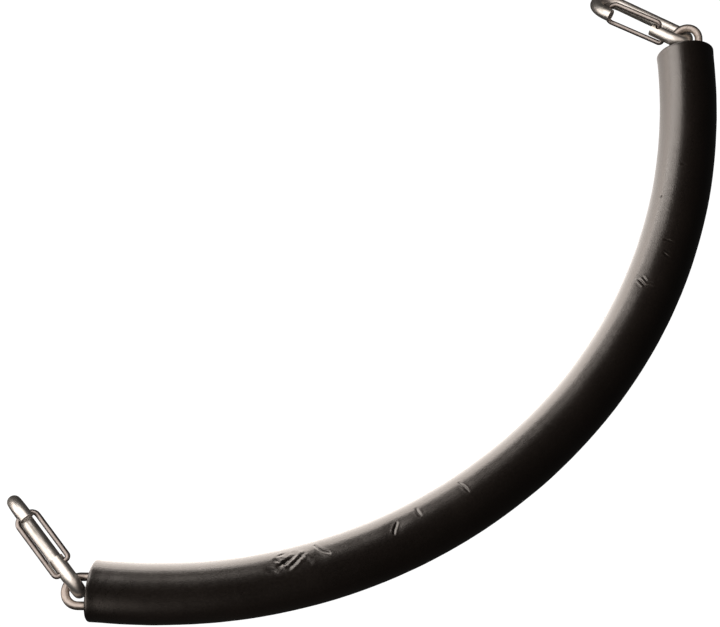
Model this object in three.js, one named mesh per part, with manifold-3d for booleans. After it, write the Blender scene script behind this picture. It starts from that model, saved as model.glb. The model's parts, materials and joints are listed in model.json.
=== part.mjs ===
// Padded chain sling seat of a playground swing: a welded steel chain runs through a
// curved foam rubber sleeve, and a wire-gate snap hook hangs on each end link.
// Millimetres, +Z up. The sling lies on a flat surface: its bow is in the XY plane, the
// chord between the two sleeve ends runs along X, and the open side of the bow faces +Y.
import * as THREE from 'three';
import { mergeVertices } from 'three/addons/utils/BufferGeometryUtils.js';
import Module from 'manifold-3d';

// ---- driving dimensions -------------------------------------------------------------
const SLEEVE_OD = 40;             // outer diameter of the foam sleeve
const SLEEVE_BORE = 28.5;           // hole through the sleeve, in which the chain lies
const SLEEVE_LENGTH = 645;        // along its centre line
const BOW_ANGLE = 97;             // degrees turned from one sleeve end to the other
const END_STRAIGHTNESS = 0.31;    // share of the curvature lost towards the ends
const RIM_ROUND = 1.6;            // rounding of the sleeve's cut edges
const CLOSE_ANGLE = 10;           // degrees that each flex line closes
const OPEN_ANGLE = 16;            // degrees that each flex line opens

const CHAIN_WIRE = 5.5;           // wire of the welded chain
const LINK_WIDTH = 24;            // outside width of a link
const LINK_COUNT = 21;            // odd, so that both end links lie the same way
const END_LINK_STANDS_OUT = 16.5;   // how far an end link stands out of the sleeve
const LINK_SLACK = 0.6;           // play between neighbouring links

const HOOK_ROD = 9;               // rod of the snap hook's body
const HOOK_LENGTH = 82;           // over everything
const HOOK_EYE_R = 9;             // centre-line radius at the link end
const HOOK_NOSE_R = 14.5;         // centre-line radius at the nose end
const HOOK_CROWN_FLAT = 3.6;      // straight stretch at the very end of the nose bend
const HOOK_STUB_END = 15.5;       // where the rod stops on the gate side
const HOOK_TIP_END = 44.5;        // where the nose tip stops
const GATE_WIRE = 3.5;            // wire of the gate
const GATE_SPREAD = 13.9;         // centre to centre of the two gate wires
const GATE_TOP = 50.5;            // where the gate's closed end lies
const GATE_HOLE_NEAR = 5.0;       // the two gate holes, offset along the rod
const GATE_HOLE_FAR = 11.0;

// How each hook lies at rest, in degrees: turn about Z away from +Y, slope down towards
// the nose, and lean of the hook's plane to the side (+ leans the gate towards +X). The
// end link that it hangs on is rolled, pitched up and turned by the other three angles.
const LEFT_HOOK = { yaw: -2.2, slope: 5.2, lean: 12.5, roll: -10, pitch: 0, turn: 4 };
const RIGHT_HOOK = { yaw: 9, slope: 14.4, lean: -54, roll: -29, pitch: 12, turn: 0 };
const RIGHT_TWIST = -8;          // the link before the right end link is turned this far

// ---- small helpers ------------------------------------------------------------------
const V = (x, y, z) => new THREE.Vector3(x, y, z);
const rad = THREE.MathUtils.degToRad;
const wasm = await Module();
wasm.setup();

function toGeometry(verts, tris) {
  const g = new THREE.BufferGeometry();
  g.setAttribute('position', new THREE.Float32BufferAttribute(verts.flatMap((v) => [v.x, v.y, v.z]), 3));
  g.setIndex(tris.flat());
  return g;
}

function toManifold(geometry) {
  let g = geometry.clone();
  g.deleteAttribute('normal');
  g.deleteAttribute('uv');
  g = mergeVertices(g, 1e-4);
  const mesh = new wasm.Mesh({
    numProp: 3,
    vertProperties: new Float32Array(g.attributes.position.array),
    triVerts: new Uint32Array(g.index.array),
  });
  return new wasm.Manifold(mesh);
}

function fromManifold(solid) {
  const m = solid.getMesh();
  const g = new THREE.BufferGeometry();
  const p = new Float32Array(m.numVert * 3);
  for (let i = 0; i < m.numVert; i++) for (let k = 0; k < 3; k++) p[i * 3 + k] = m.vertProperties[i * m.numProp + k];
  g.setAttribute('position', new THREE.BufferAttribute(p, 3));
  g.setIndex(new THREE.BufferAttribute(new Uint32Array(m.triVerts), 1));
  return g;
}

// A round bar of `sides` flats along a path that lies in one plane. Rings stand on the
// mitre planes, one flat faces the left of the path, and open ends are closed with a
// small chamfer.
function bar(path, planeNormal, radius, sides, closed = false, chamfer = 0) {
  const n = path.length;
  const flat = radius / Math.cos(Math.PI / sides);
  const verts = [];
  const tris = [];
  const rings = [];
  const dirs = [];
  for (let i = 0; i < n; i++) dirs.push(path[(i + 1) % n].clone().sub(path[i]).normalize());
  const ring = (centre, side, stretch, r, shift) => {
    const start = verts.length;
    for (let k = 0; k < sides; k++) {
      const a = ((k + 0.5) / sides) * 2 * Math.PI;
      verts.push(centre.clone()
        .addScaledVector(side, Math.cos(a) * r * stretch)
        .addScaledVector(planeNormal, Math.sin(a) * r)
        .add(shift));
    }
    rings.push(start);
  };
  const zero = V(0, 0, 0);
  for (let i = 0; i < n; i++) {
    const before = closed ? dirs[(i + n - 1) % n] : dirs[Math.max(i - 1, 0)];
    const after = closed ? dirs[i] : dirs[Math.min(i, n - 2)];
    const along = before.clone().add(after).normalize();
    const side = planeNormal.clone().cross(along).normalize();
    const stretch = 1 / Math.max(0.5, along.dot(before));
    if (!closed && chamfer && i === 0) ring(path[i], side, stretch, flat - chamfer, zero);
    if (!closed && chamfer && i === 0) ring(path[i], side, stretch, flat, along.clone().multiplyScalar(chamfer));
    else if (!closed && chamfer && i === n - 1) {
      ring(path[i], side, stretch, flat, along.clone().multiplyScalar(-chamfer));
      ring(path[i], side, stretch, flat - chamfer, zero);
    } else ring(path[i], side, stretch, flat, zero);
  }
  const m = rings.length;
  for (let i = 0; i < (closed ? m : m - 1); i++) {
    const a = rings[i];
    const b = rings[(i + 1) % m];
    for (let k = 0; k < sides; k++) {
      const l = (k + 1) % sides;
      tris.push([a + k, a + l, b + l], [a + k, b + l, b + k]);
    }
  }
  if (!closed) {
    for (const [start, flip] of [[rings[0], true], [rings[m - 1], false]]) {
      for (let k = 1; k < sides - 1; k++) {
        tris.push(flip ? [start, start + k + 1, start + k] : [start, start + k, start + k + 1]);
      }
    }
  }
  return toGeometry(verts, tris);
}

function arc(cx, cy, r, from, to, steps) {
  const out = [];
  for (let i = 0; i <= steps; i++) {
    const a = rad(from + ((to - from) * i) / steps);
    out.push([cx + r * Math.cos(a), cy + r * Math.sin(a)]);
  }
  return out;
}

const group = new THREE.Group();
function add(name, geometry, colour, roughness, metalness, matrix = null) {
  const mesh = new THREE.Mesh(geometry, new THREE.MeshStandardMaterial({ color: colour, roughness, metalness }));
  mesh.name = name;
  if (matrix) matrix.decompose(mesh.position, mesh.quaternion, mesh.scale);
  group.add(mesh);
  return mesh;
}
const FOAM = [0x1b1716, 0.55, 0.0];
const STEEL = [0xb9b4ab, 0.32, 1.0];

// ---- centre line of the sleeve ------------------------------------------------------
// Even bend in the middle, straighter at the two ends, symmetric about X = 0.
const STEPS = 4000;
const line = [];
{
  const k = (t) => 1 - END_STRAIGHTNESS * Math.abs(t) ** 6;
  let total = 0;
  for (let i = 0; i < STEPS; i++) total += k(-1 + (2 * (i + 0.5)) / STEPS);
  let th = -rad(BOW_ANGLE) / 2;
  let x = 0;
  let y = 0;
  line.push({ x, y, th });
  for (let i = 0; i < STEPS; i++) {
    const d = (rad(BOW_ANGLE) * k(-1 + (2 * (i + 0.5)) / STEPS)) / total;
    x += (Math.cos(th + d / 2) * SLEEVE_LENGTH) / STEPS;
    y += (Math.sin(th + d / 2) * SLEEVE_LENGTH) / STEPS;
    th += d;
    line.push({ x, y, th });
  }
}
const AXIS_Z = SLEEVE_OD / 2;
const MID_X = line[STEPS].x / 2;
const RISE = line[STEPS].y;                    // equals the start height: the bow is symmetric
const LOW_Y = Math.min(...line.map((p) => p.y));
function at(s) {                               // s from the middle, straight beyond the ends
  const f = ((s + SLEEVE_LENGTH / 2) / SLEEVE_LENGTH) * STEPS;
  const i = Math.min(Math.max(Math.floor(f), 0), STEPS - 1);
  const p = line[i];
  const q = line[i + 1];
  if (f < 0) {
    const d = (f / STEPS) * SLEEVE_LENGTH;
    return { x: p.x + Math.cos(p.th) * d - MID_X, y: p.y + Math.sin(p.th) * d - LOW_Y, th: p.th };
  }
  if (f > STEPS) {
    const d = ((f - STEPS) / STEPS) * SLEEVE_LENGTH;
    return { x: q.x + Math.cos(q.th) * d - MID_X, y: q.y + Math.sin(q.th) * d - LOW_Y, th: q.th };
  }
  const u = f - i;
  return { x: p.x + (q.x - p.x) * u - MID_X, y: p.y + (q.y - p.y) * u - LOW_Y, th: p.th + (q.th - p.th) * u };
}

// ---- chain pivots -------------------------------------------------------------------
// The pivot between two links sits on the centre line. The chords between pivots are
// all one pitch long.
const CHAIN_TOTAL = SLEEVE_LENGTH + 2 * END_LINK_STANDS_OUT;
const PITCH = (CHAIN_TOTAL - CHAIN_WIRE) / LINK_COUNT;
const pivots = [];
{
  // step along the line so that each chord is PITCH, from the middle of the middle link out
  const place = (s) => { const p = at(s); return V(p.x, p.y, AXIS_Z); };
  const half = [];
  let s = PITCH / 2;
  half.push(s);
  for (let k = 1; k <= (LINK_COUNT - 1) / 2; k++) {
    let lo = s;
    let hi = s + PITCH * 1.05;
    for (let it = 0; it < 50; it++) {
      const mid = (lo + hi) / 2;
      if (place(mid).distanceTo(place(s)) < PITCH) lo = mid; else hi = mid;
    }
    s = (lo + hi) / 2;
    half.push(s);
  }
  for (let k = half.length - 1; k >= 0; k--) pivots.push(-half[k]);
  for (let k = 0; k < half.length; k++) pivots.push(half[k]);
}
const pivotPoint = (k) => { const p = at(pivots[k]); return V(p.x, p.y, AXIS_Z); };

// Flex lines stand on real chain pivots: between links 4|5, 8|9, 11|12 and 15|16
// when the links are counted 0 to 20 from the left.
const FLEX = [5, 9, 12, 16];

// ---- sleeve -------------------------------------------------------------------------
// The sleeve is one soft tube. Here it is cut at the four flex lines, with a wedge of
// room on both sides of each line, so that the five stretches can turn.
const SIDES = 24;
const tanClose = Math.tan(rad(CLOSE_ANGLE / 2 + 0.6));
const tanOpen = Math.tan(rad(OPEN_ANGLE / 2 + 0.6));
function sleeveStretch(s0, s1, cutStart, cutEnd) {
  const steps = Math.max(4, Math.round((s1 - s0) / 21));
  const profile = [];                          // s, outer radius, bore radius
  const R = SLEEVE_OD / 2;
  const B = SLEEVE_BORE / 2;
  const stations = [];
  if (cutStart) stations.push([s0, R, B]);
  else { stations.push([s0, R - RIM_ROUND, B + 0.6]); stations.push([s0 + RIM_ROUND, R, B]); }
  const from = cutStart ? s0 : s0 + RIM_ROUND;
  const to = cutEnd ? s1 : s1 - RIM_ROUND;
  for (let i = 1; i < steps; i++) stations.push([from + ((to - from) * i) / steps, R, B]);
  if (cutEnd) stations.push([s1, R, B]);
  else { stations.push([s1 - RIM_ROUND, R, B]); stations.push([s1, R - RIM_ROUND, B + 0.6]); }
  const verts = [];
  const tris = [];
  const m = stations.length;
  const index = (i, w, k) => (i * 2 + w) * SIDES + (k % SIDES);
  for (let i = 0; i < m; i++) {
    const [s, ro, ri] = stations[i];
    for (const r of [ro, ri]) {
      const q = r / Math.cos(Math.PI / SIDES * 0);
      for (let k = 0; k < SIDES; k++) {
        const a = (k / SIDES) * 2 * Math.PI;
        const lateral = Math.cos(a) * q;        // + is the inside of the bow
        const up = Math.sin(a) * q;
        let ss = s;
        const wedge = lateral > 0 ? lateral * tanClose : -lateral * tanOpen;
        if (i === 0 && cutStart) ss = s + 0.25 + wedge;
        if (i === m - 1 && cutEnd) ss = s - 0.25 - wedge;
        // the wedge is cut square to the centre line at the flex line itself
        if ((i === 0 && cutStart) || (i === m - 1 && cutEnd)) {
          const p = at(s);
          const d = ss - s;
          verts.push(V(p.x + Math.cos(p.th) * d - Math.sin(p.th) * lateral, p.y + Math.sin(p.th) * d + Math.cos(p.th) * lateral, AXIS_Z + up));
        } else {
          const p = at(ss);
          verts.push(V(p.x - Math.sin(p.th) * lateral, p.y + Math.cos(p.th) * lateral, AXIS_Z + up));
        }
      }
    }
  }
  for (let i = 0; i < m - 1; i++) {
    for (let k = 0; k < SIDES; k++) {
      const a = index(i, 0, k);
      const b = index(i, 0, k + 1);
      const c = index(i + 1, 0, k + 1);
      const d = index(i + 1, 0, k);
      tris.push([a, b, c], [a, c, d]);
      const e = index(i, 1, k);
      const f = index(i, 1, k + 1);
      const g = index(i + 1, 1, k + 1);
      const h = index(i + 1, 1, k);
      tris.push([e, g, f], [e, h, g]);
    }
  }
  for (let k = 0; k < SIDES; k++) {
    tris.push([index(0, 0, k), index(0, 1, k), index(0, 1, k + 1)], [index(0, 0, k), index(0, 1, k + 1), index(0, 0, k + 1)]);
    tris.push([index(m - 1, 0, k), index(m - 1, 1, k + 1), index(m - 1, 1, k)], [index(m - 1, 0, k), index(m - 1, 0, k + 1), index(m - 1, 1, k + 1)]);
  }
  return toGeometry(verts, tris);
}
const HALF = SLEEVE_LENGTH / 2;
const cuts = FLEX.map((k) => pivots[k]);
add('sleeve_left_outer', sleeveStretch(-HALF, cuts[0], false, true), ...FOAM);
add('sleeve_left_inner', sleeveStretch(cuts[0], cuts[1], true, true), ...FOAM);
add('sleeve_middle', sleeveStretch(cuts[1], cuts[2], true, true), ...FOAM);
add('sleeve_right_inner', sleeveStretch(cuts[2], cuts[3], true, true), ...FOAM);
add('sleeve_right_outer', sleeveStretch(cuts[3], HALF, true, false), ...FOAM);

// ---- chain links --------------------------------------------------------------------
const LINK_R = (LINK_WIDTH - CHAIN_WIRE) / 2;                          // centre-line end radius
const LINK_HALF = (PITCH + CHAIN_WIRE + LINK_SLACK) / 2;               // centre to end wire
function linkGeometry(sides, arcSteps) {
  const straight = LINK_HALF - LINK_R;
  const pts = [...arc(straight, 0, LINK_R, -90, 90, arcSteps), ...arc(-straight, 0, LINK_R, 90, 270, arcSteps)];
  const across = (CHAIN_WIRE / 2) * Math.cos(Math.PI / sides);            // corners lie on the round wire
  return bar(pts.map(([x, y]) => V(x, y, 0)), V(0, 0, 1), across, sides, true);
}
const innerLink = linkGeometry(6, 6);
const endLink = linkGeometry(10, 8);
const linkFrames = [];
for (let k = 0; k < LINK_COUNT; k++) {
  const a = pivotPoint(k);
  const b = pivotPoint(k + 1);
  const along = b.clone().sub(a).normalize();
  const flatLink = k % 2 === 0;                                        // even links lie flat
  let up = V(0, 0, 1);
  let side = up.clone().cross(along);
  let centre = a.clone().add(b).multiplyScalar(0.5);
  let x = along.clone();
  if (k === LINK_COUNT - 2) {
    const q = new THREE.Quaternion().setFromAxisAngle(x, rad(RIGHT_TWIST));
    side.applyQuaternion(q);
    up.applyQuaternion(q);
  }
  if (k === 0 || k === LINK_COUNT - 1) {
    // the end links sit loose: each is a little rolled and pitched about its inner pivot
    const spec = k === 0 ? LEFT_HOOK : RIGHT_HOOK;
    const out = k === 0 ? along.clone().negate() : along.clone();
    const inner = k === 0 ? b : a;
    out.applyAxisAngle(V(0, 0, 1), rad(spec.turn));
    const tilted = out.clone().multiplyScalar(Math.cos(rad(spec.pitch))).addScaledVector(V(0, 0, 1), Math.sin(rad(spec.pitch)));
    centre = inner.clone().addScaledVector(tilted, PITCH / 2);
    x = k === 0 ? tilted.clone().negate() : tilted.clone();
    side = V(0, 0, 1).cross(x).normalize();
    up = x.clone().cross(side).normalize();
    const q = new THREE.Quaternion().setFromAxisAngle(x, rad(spec.roll));
    side.applyQuaternion(q);
    up.applyQuaternion(q);
  }
  const y = flatLink ? side : up;
  const z = x.clone().cross(y);
  const m = new THREE.Matrix4().makeBasis(x, y, z).setPosition(centre);
  linkFrames.push({ x, y, z, centre });
  const name = k === 0 ? 'end_link_left' : k === LINK_COUNT - 1 ? 'end_link_right' : `chain_link_${String(k).padStart(2, '0')}`;
  add(name, (k === 0 || k === LINK_COUNT - 1) ? endLink : innerLink, ...STEEL, m);
}

// ---- snap hook ----------------------------------------------------------------------
// Hook frame: X from the spine to the gate, Y from the link end to the nose, Z across.
// The origin is the centre of the bend at the link end.
const TOP_Y = HOOK_LENGTH - (HOOK_EYE_R + HOOK_ROD / 2) - HOOK_ROD / 2;
const NOSE_Y = TOP_Y - HOOK_NOSE_R;
const NOSE_X = -HOOK_EYE_R + HOOK_NOSE_R;
const NOSE_SIDE_X = NOSE_X + HOOK_NOSE_R;
function hookPath() {
  const tilt = (Math.asin(HOOK_CROWN_FLAT / 2 / HOOK_NOSE_R) * 180) / Math.PI;
  const pts = [
    [HOOK_EYE_R, HOOK_STUB_END],
    ...arc(0, 0, HOOK_EYE_R, 0, -180, 10),
    ...arc(NOSE_X, NOSE_Y, HOOK_NOSE_R, 180, 90 + tilt, 5),
    ...arc(NOSE_X, NOSE_Y, HOOK_NOSE_R, 90 - tilt, 0, 5),
    [NOSE_SIDE_X, HOOK_TIP_END],
  ];
  return pts.map(([x, y]) => V(x, y, 0));
}
// gate line: from the middle between the holes to the closed end behind the nose tip
const HINGE = [HOOK_EYE_R, (GATE_HOLE_NEAR + GATE_HOLE_FAR) / 2];
const GATE_TOP_X = NOSE_SIDE_X - HOOK_ROD / 2 - GATE_WIRE / 2 - 0.45;
const gateSlope = (GATE_TOP_X - HINGE[0]) / (GATE_TOP - HINGE[1]);
const gateX = (y) => HINGE[0] + gateSlope * (y - HINGE[1]);
const gateDir = V(gateSlope, 1, 0).normalize();
function hookBody() {
  let solid = toManifold(bar(hookPath(), V(0, 0, 1), HOOK_ROD / 2, 10, false, 1.0));
  // two blind pivot holes, one from each side, a little long across the rod
  for (const [y, dir] of [[GATE_HOLE_NEAR, 1], [GATE_HOLE_FAR, -1]]) {
    const shape = new THREE.Shape();
    const w = GATE_WIRE / 2 + 0.35;
    const l = 1.0;
    const outline = [...arc(l, 0, w, -90, 90, 4), ...arc(-l, 0, w, 90, 270, 4)];
    outline.forEach(([a, b], i) => (i ? shape.lineTo(a, b) : shape.moveTo(a, b)));
    const hole = new THREE.ExtrudeGeometry(shape, { depth: 8, bevelEnabled: false });
    if (dir > 0) hole.translate(gateX(y), y, 0.9);
    else hole.translate(gateX(y), y, -8.9);
    solid = solid.subtract(toManifold(hole));
  }
  return fromManifold(solid);
}
function gateWire() {
  const half = GATE_SPREAD / 2;
  const corner = 5.0;
  const foot = 2.4;
  const inset = 1.6;                          // wire ends stop this far from the rod's middle
  const p = (y, z) => V(gateX(y), y, z);
  const pts = [p(GATE_HOLE_NEAR, inset)];
  for (let i = 0; i <= 3; i++) {
    const a = rad((i / 3) * 90);
    pts.push(p(GATE_HOLE_NEAR + foot - foot * Math.cos(a), half - foot + foot * Math.sin(a)));
  }
  for (let i = 0; i <= 4; i++) {
    const a = rad((i / 4) * 90);
    pts.push(p(GATE_TOP - corner + corner * Math.sin(a), half - corner + corner * Math.cos(a)));
  }
  for (let i = 4; i >= 0; i--) {
    const a = rad((i / 4) * 90);
    pts.push(p(GATE_TOP - corner + corner * Math.sin(a), -(half - corner + corner * Math.cos(a))));
  }
  for (let i = 3; i >= 0; i--) {
    const a = rad((i / 3) * 90);
    pts.push(p(GATE_HOLE_FAR + foot - foot * Math.cos(a), -(half - foot + foot * Math.sin(a))));
  }
  pts.push(p(GATE_HOLE_FAR, -inset));
  const normal = gateDir.clone().cross(V(0, 0, 1)).normalize();
  return bar(pts, normal, GATE_WIRE / 2, 8);
}
const hookGeometry = hookBody();
const gateGeometry = gateWire();

function hookMatrix(spec, frame, outward) {
  const a = V(0, Math.cos(rad(spec.slope)), -Math.sin(rad(spec.slope))).applyAxisAngle(V(0, 0, 1), rad(spec.yaw));
  const g0 = V(0, 0, 1).addScaledVector(a, -a.z).normalize();
  const side = a.clone().cross(V(0, 0, 1)).normalize();                // points to +X
  const g = g0.multiplyScalar(Math.cos(rad(spec.lean))).addScaledVector(side, Math.sin(rad(spec.lean)));
  const n = g.clone().cross(a);
  // the hook's rod crosses the end link at the centre of the link's end bend
  const crossing = frame.centre.clone().addScaledVector(outward, LINK_HALF - LINK_R);
  const origin = crossing.addScaledVector(a, HOOK_EYE_R);
  return new THREE.Matrix4().makeBasis(g, a, n).setPosition(origin);
}
const leftFrame = linkFrames[0];
const rightFrame = linkFrames[LINK_COUNT - 1];
const leftHook = hookMatrix(LEFT_HOOK, leftFrame, leftFrame.x.clone().negate());
const rightHook = hookMatrix(RIGHT_HOOK, rightFrame, rightFrame.x.clone());
add('hook_body_left', hookGeometry, ...STEEL, leftHook);
add('hook_gate_left', gateGeometry, ...STEEL, leftHook);
add('hook_body_right', hookGeometry, ...STEEL, rightHook);
add('hook_gate_right', gateGeometry, ...STEEL, rightHook);

// the origin is under the middle of the whole part, on the surface that it lies on
group.updateMatrixWorld(true);
const whole = new THREE.Box3().setFromObject(group, true);
for (const mesh of group.children) {
  mesh.position.x -= (whole.min.x + whole.max.x) / 2;
  mesh.position.y -= (whole.min.y + whole.max.y) / 2;
}
export default group;
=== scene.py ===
import json
import math

import bmesh
import bpy
import numpy as np
from mathutils import Matrix, Vector

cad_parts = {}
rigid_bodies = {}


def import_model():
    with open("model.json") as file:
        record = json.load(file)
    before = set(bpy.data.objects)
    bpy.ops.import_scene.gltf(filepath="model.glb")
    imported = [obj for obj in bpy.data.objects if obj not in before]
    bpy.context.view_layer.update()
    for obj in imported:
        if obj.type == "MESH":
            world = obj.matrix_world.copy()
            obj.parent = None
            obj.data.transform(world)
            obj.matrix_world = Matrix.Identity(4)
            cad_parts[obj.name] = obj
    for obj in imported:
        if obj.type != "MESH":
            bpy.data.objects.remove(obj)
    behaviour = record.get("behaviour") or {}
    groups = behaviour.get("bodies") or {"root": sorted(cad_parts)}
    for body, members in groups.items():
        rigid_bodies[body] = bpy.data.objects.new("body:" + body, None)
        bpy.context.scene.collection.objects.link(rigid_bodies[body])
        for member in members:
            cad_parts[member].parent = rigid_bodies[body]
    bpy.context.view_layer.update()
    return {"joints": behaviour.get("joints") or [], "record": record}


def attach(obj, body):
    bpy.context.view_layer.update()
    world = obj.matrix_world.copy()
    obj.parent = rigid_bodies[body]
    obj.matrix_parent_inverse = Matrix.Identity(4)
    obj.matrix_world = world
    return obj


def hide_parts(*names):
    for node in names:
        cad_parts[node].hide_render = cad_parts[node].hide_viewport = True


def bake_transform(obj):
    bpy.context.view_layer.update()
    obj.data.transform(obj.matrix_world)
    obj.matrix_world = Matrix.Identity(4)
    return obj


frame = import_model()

SCENE = bpy.context.scene

# ---- the part's own dimensions, in millimetres, as in the CAD source --------------------
SLEEVE_OD = 40.0
SLEEVE_BORE = 28.5
SLEEVE_LENGTH = 645.0
BOW_ANGLE = 97.0
END_STRAIGHTNESS = 0.31
CHAIN_WIRE = 5.5
LINK_WIDTH = 24.0
LINK_COUNT = 21
END_LINK_STANDS_OUT = 16.5
LINK_SLACK = 0.6
HOOK_ROD = 9.0
HOOK_LENGTH = 82.0
HOOK_EYE_R = 9.0
HOOK_NOSE_R = 14.5
HOOK_CROWN_FLAT = 3.6
HOOK_STUB_END = 15.5
HOOK_TIP_END = 44.5
GATE_WIRE = 3.5
GATE_SPREAD = 13.9
GATE_TOP = 50.5
GATE_HOLE_NEAR = 5.0
GATE_HOLE_FAR = 11.0
LEFT_HOOK = dict(yaw=-2.2, slope=5.2, lean=12.5, roll=-10.0, pitch=0.0, turn=4.0)
RIGHT_HOOK = dict(yaw=9.0, slope=14.4, lean=-54.0, roll=-29.0, pitch=12.0, turn=0.0)
RIGHT_TWIST = -8.0

HALF = SLEEVE_LENGTH / 2
R_OUT = SLEEVE_OD / 2
R_IN = SLEEVE_BORE / 2 + 0.25
Z_AXIS = np.array([0.0, 0.0, 1.0])


def rad(d):
    return d * math.pi / 180.0


def unit(v):
    v = np.asarray(v, float)
    return v / np.linalg.norm(v)


def turn_about(v, axis, angle):
    axis = unit(axis)
    v = np.asarray(v, float)
    return (v * math.cos(angle) + np.cross(axis, v) * math.sin(angle)
            + axis * np.dot(axis, v) * (1 - math.cos(angle)))


# ---- centre line ------------------------------------------------------------------------
STEPS = 4000
_t = -1 + (2 * (np.arange(STEPS) + 0.5)) / STEPS
_k = 1 - END_STRAIGHTNESS * np.abs(_t) ** 6
_d = rad(BOW_ANGLE) * _k / _k.sum()
TH = np.concatenate([[0.0], np.cumsum(_d)]) - rad(BOW_ANGLE) / 2
_mid = TH[:-1] + _d / 2
LX = np.concatenate([[0.0], np.cumsum(np.cos(_mid) * SLEEVE_LENGTH / STEPS)])
LY = np.concatenate([[0.0], np.cumsum(np.sin(_mid) * SLEEVE_LENGTH / STEPS)])
LX -= LX[-1] / 2
LY -= LY.min()


def at(s):
    """x, y, tangent angle at s from the middle, straight beyond the ends."""
    s = np.asarray(s, float)
    f = (s + HALF) / SLEEVE_LENGTH * STEPS
    g = np.clip(f, 0, STEPS)
    idx = np.arange(STEPS + 1)
    x, y, th = np.interp(g, idx, LX), np.interp(g, idx, LY), np.interp(g, idx, TH)
    over = (f - g) / STEPS * SLEEVE_LENGTH
    return x + np.cos(th) * over, y + np.sin(th) * over, th


PITCH = (SLEEVE_LENGTH + 2 * END_LINK_STANDS_OUT - CHAIN_WIRE) / LINK_COUNT
PIVOT_S = []
_half = [PITCH / 2]
for _ in range((LINK_COUNT - 1) // 2):
    here = _half[-1]
    hx, hy, _th = at(here)
    lo, hi = here, here + PITCH * 1.05
    for _it in range(50):
        m = (lo + hi) / 2
        mx, my, _th = at(m)
        if math.hypot(mx - hx, my - hy) < PITCH:
            lo = m
        else:
            hi = m
    _half.append((lo + hi) / 2)
PIVOT_S = [-s for s in reversed(_half)] + _half


def raw_pivot(k):
    x, y, _th = at(PIVOT_S[k])
    return np.array([float(x), float(y), SLEEVE_OD / 2])


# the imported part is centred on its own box; a joint's place says by how much
_joint = next(j for j in frame["joints"] if j["name"] == "flex_left_inner")
_pos = _joint["pos_m"]
SHIFT = np.array([float(_pos[0]) * 1000, float(_pos[1]) * 1000, SLEEVE_OD / 2]) - raw_pivot(9)
SHIFT[2] = 0.0


def place_line(s, lateral, up):
    """Row-frame millimetres of a point beside the centre line; + lateral is the inside of the bow."""
    x, y, th = at(s)
    return np.stack([x - np.sin(th) * lateral + SHIFT[0],
                     y + np.cos(th) * lateral + SHIFT[1],
                     SLEEVE_OD / 2 + up], -1)


# ---- mesh helpers -----------------------------------------------------------------------
def make_object(name, verts, faces, material, smooth_angle=38.0, attributes=None):
    mesh = bpy.data.meshes.new(name)
    mesh.from_pydata([tuple(v) for v in np.asarray(verts, float) * 0.001], [], faces)
    mesh.validate()
    for key, values in (attributes or {}).items():
        values = np.asarray(values, np.float32)
        if values.ndim == 1:
            mesh.attributes.new(key, "FLOAT", "POINT").data.foreach_set("value", values)
        else:
            mesh.attributes.new(key, "FLOAT_VECTOR", "POINT").data.foreach_set("vector", values.ravel())
    bm = bmesh.new()
    bm.from_mesh(mesh)
    bmesh.ops.recalc_face_normals(bm, faces=bm.faces)
    bm.to_mesh(mesh)
    bm.free()
    mesh.polygons.foreach_set("use_smooth", np.ones(len(mesh.polygons), bool))
    mesh.set_sharp_from_angle(angle=rad(smooth_angle))
    mesh.materials.append(material)
    obj = bpy.data.objects.new(name, mesh)
    SCENE.collection.objects.link(obj)
    return obj


def arc(cx, cy, r, a0, a1, steps):
    a = np.radians(np.linspace(a0, a1, steps + 1))
    return [(cx + r * math.cos(v), cy + r * math.sin(v)) for v in a]


def straight(p, q, step):
    n = max(1, int(round(math.dist(p, q) / step)))
    return [tuple(np.array(p) + (np.array(q) - np.array(p)) * i / n) for i in range(1, n)]


def tidy(points, closed=False):
    out = []
    for p in points:
        p = np.asarray(p, float)
        if not out or np.linalg.norm(p - out[-1]) > 1e-4:
            out.append(p)
    if closed and np.linalg.norm(out[0] - out[-1]) < 1e-4:
        out.pop()
    return np.array(out)


def sweep(path, normal, radius, sides, closed=False, caps=None, swell=None):
    """A round bar along a path in one plane. caps: (start, end) lists of (inset share along the
    end, radius share) rings that round or bevel each end. swell: radius factor by ring index."""
    path = np.asarray(path, float)
    normal = unit(normal)
    n = len(path)
    seg = np.diff(np.vstack([path, path[:1]]), axis=0)
    seg = seg / np.linalg.norm(seg, axis=1)[:, None]
    rings = []
    for i in range(n):
        before = seg[i - 1] if (closed or i > 0) else seg[0]
        after = seg[i] if (closed or i < n - 1) else seg[n - 2]
        along = unit(before + after)
        side = unit(np.cross(normal, along))
        f = 1.0 if swell is None else swell[i]
        rings.append((path[i], side, along, radius * f))
    listed = []
    if not closed and caps:
        for out, share in caps[0]:
            c, side, along, r = rings[0]
            listed.append((c - along * out, side, r * share))
    for c, side, along, r in rings:
        listed.append((c, side, r))
    if not closed and caps:
        for out, share in reversed(caps[1]):
            c, side, along, r = rings[-1]
            listed.append((c + along * out, side, r * share))
    a = np.linspace(0, 2 * math.pi, sides, endpoint=False)
    verts, faces = [], []
    for c, side, r in listed:
        verts.append(c + np.outer(np.cos(a) * r, side) + np.outer(np.sin(a) * r, normal))
    verts = np.vstack(verts)
    m = len(listed)
    for i in range(m if closed else m - 1):
        j = (i + 1) % m
        for k in range(sides):
            l = (k + 1) % sides
            faces.append((i * sides + k, i * sides + l, j * sides + l, j * sides + k))
    if not closed:
        faces.append(tuple(range(sides)))
        faces.append(tuple(range((m - 1) * sides, m * sides)))
    return verts, faces


def dome(radius, depth, rings=7, last=0.08):
    """(stand-out, share) rings of a rounded end, outermost first."""
    out = []
    for i in range(rings):
        a = math.acos(last) * (1 - i / rings)
        out.append((depth * math.sin(a), math.cos(a)))
    return out


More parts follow.
